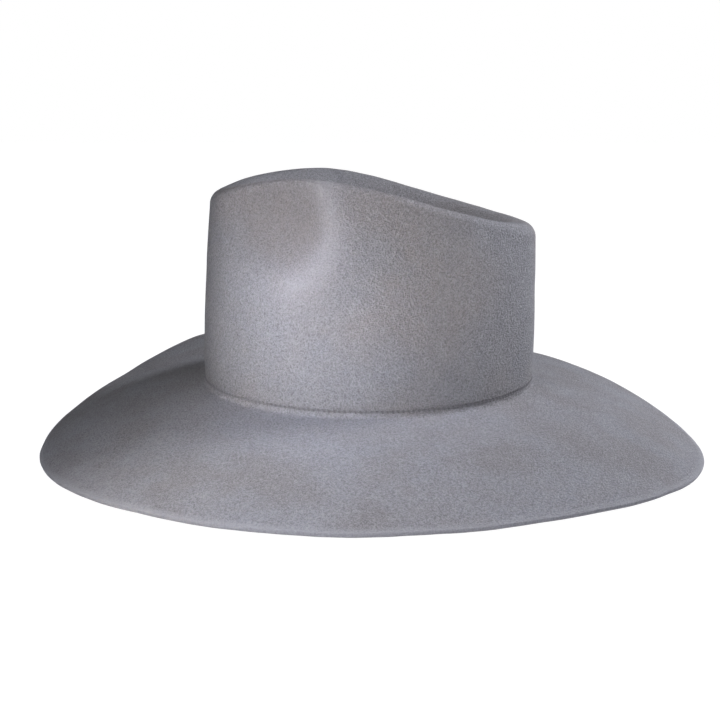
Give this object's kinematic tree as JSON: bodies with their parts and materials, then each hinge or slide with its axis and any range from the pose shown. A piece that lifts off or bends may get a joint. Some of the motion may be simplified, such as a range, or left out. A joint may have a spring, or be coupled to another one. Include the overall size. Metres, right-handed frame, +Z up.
{
  "type": "wide brimmed felt hat",
  "caption": "Wide-brimmed wool felt hat with a teardrop-creased crown, a pinched front, a raw-cut brim edge, a stitched-in leather sweatband and a satin lining.",
  "frame": {"origin": "middle of the head opening, in the plane of the brim break where the crown wall turns out into the brim", "axes": "+Z up through the crown, -Y towards the front of the hat (the pinched end), +X towards the wearer's left"},
  "size_m": [0.3852, 0.4122, 0.171],
  "materials": {
    "felt": "brushed wool felt, matt, with a short nap",
    "leather": "smooth, semi-matt",
    "reed": "satin",
    "tape": "plain cotton weave",
    "thread": "twisted thread",
    "ribbon": "ribbed ribbon",
    "lining": "satin weave",
    "label": "blank woven tape"
  },
  "bodies": {
    "root": {"felt_body": "felt", "lining_side": "lining", "lining_tip": "lining", "lining_piping": "lining", "reed": "reed", "reed_casing": "tape", "sweatband": "leather", "crown_needle_thread": "thread", "crown_bobbin_thread": "thread", "casing_thread": "thread", "back_seam_backing": "tape", "back_seam_thread": "thread", "bow_tails": "ribbon", "bow_loops": "ribbon", "bow_knot": "ribbon", "size_label": "label"}
  },
  "joints": []
}
